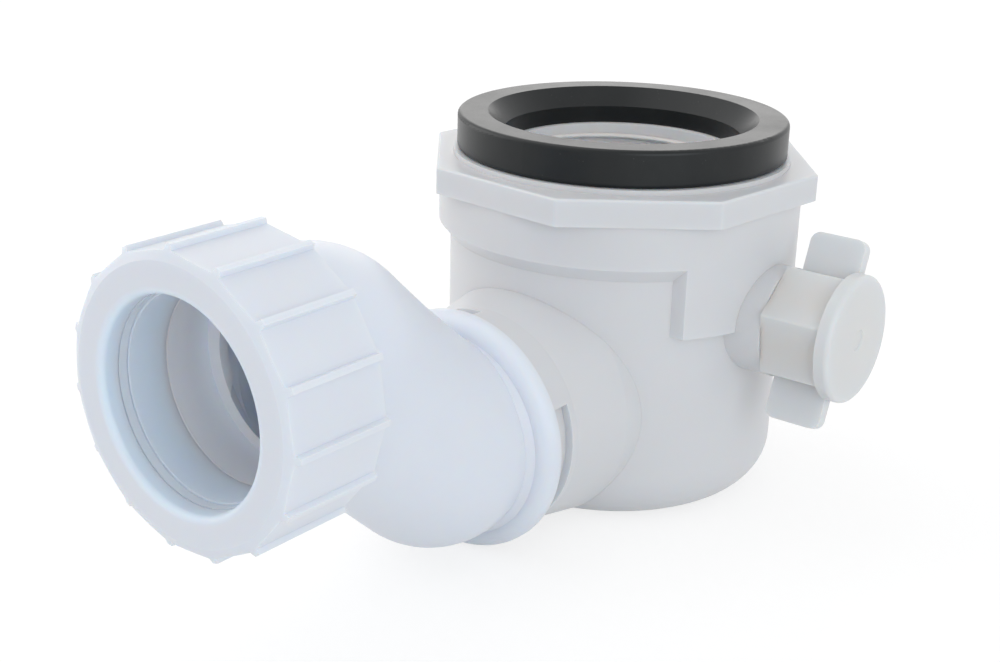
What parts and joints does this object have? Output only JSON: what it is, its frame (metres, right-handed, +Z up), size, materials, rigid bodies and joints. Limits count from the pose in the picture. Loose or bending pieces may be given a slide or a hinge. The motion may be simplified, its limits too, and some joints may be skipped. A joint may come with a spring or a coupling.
{
  "type": "basin trap",
  "caption": "White plastic waste trap: round pot with octagonal flange and black inlet gasket, swivelling swan-neck outlet with ribbed compression nut, side spigot closed by a wing cap.",
  "frame": {"origin": "centre of the inlet mouth, on the body's seat for the inlet gasket", "axes": "+Z up along the inlet, +X out along the outlet, +Y out along the side spigot"},
  "size_m": [0.203, 0.1215, 0.098],
  "materials": {
    "body_plastic": "white moulded polypropylene, satin",
    "gasket_rubber": "black moulded rubber, matte",
    "elbow_plastic": "bluish white moulded polypropylene, satin",
    "ring_rubber": "black rubber",
    "seal_elastomer": "natural white elastomer, matte",
    "washer_plastic": "natural white polyethylene",
    "nut_plastic": "bluish white moulded polypropylene, satin",
    "washer_rubber": "black rubber",
    "cap_plastic": "natural translucent polypropylene, waxy"
  },
  "bodies": {
    "trap": {"trap_body": "body_plastic", "inlet_gasket": "gasket_rubber"},
    "elbow": {"outlet_elbow": "elbow_plastic", "swivel_ring": "ring_rubber", "pipe_seal": "seal_elastomer"},
    "slip_ring": {"slip_washer": "washer_plastic"},
    "nut": {"compression_nut": "nut_plastic"},
    "cap_seal": {"cap_washer": "washer_rubber"},
    "cap": {"wing_cap": "cap_plastic"}
  },
  "joints": [
    {"name": "elbow_swivel", "type": "hinge", "parent": "trap", "child": "elbow", "pos_m": [0.0643, 0, -0.0587], "axis": [1, 0, 0], "continuous": true},
    {"name": "nut_travel", "type": "slide", "parent": "elbow", "child": "slip_ring", "axis": [1, 0, 0], "range_m": [0, 0.0116]},
    {"name": "nut_turn", "type": "hinge", "parent": "slip_ring", "child": "nut", "pos_m": [0.14, 0, -0.0254], "axis": [1, 0, 0], "range_deg": [0, 1800]},
    {"name": "cap_travel", "type": "slide", "parent": "trap", "child": "cap_seal", "axis": [0, 1, 0], "range_m": [0, 0.0116]},
    {"name": "cap_turn", "type": "hinge", "parent": "cap_seal", "child": "cap", "pos_m": [0, 0.06, -0.0362], "axis": [0, 1, 0], "range_deg": [0, 1800]}
  ],
  "couplings": [
    {"joint": "nut_travel", "follows": "nut_turn", "m_per_rad": 0.000367},
    {"joint": "cap_travel", "follows": "cap_turn", "m_per_rad": 0.000367}
  ]
}
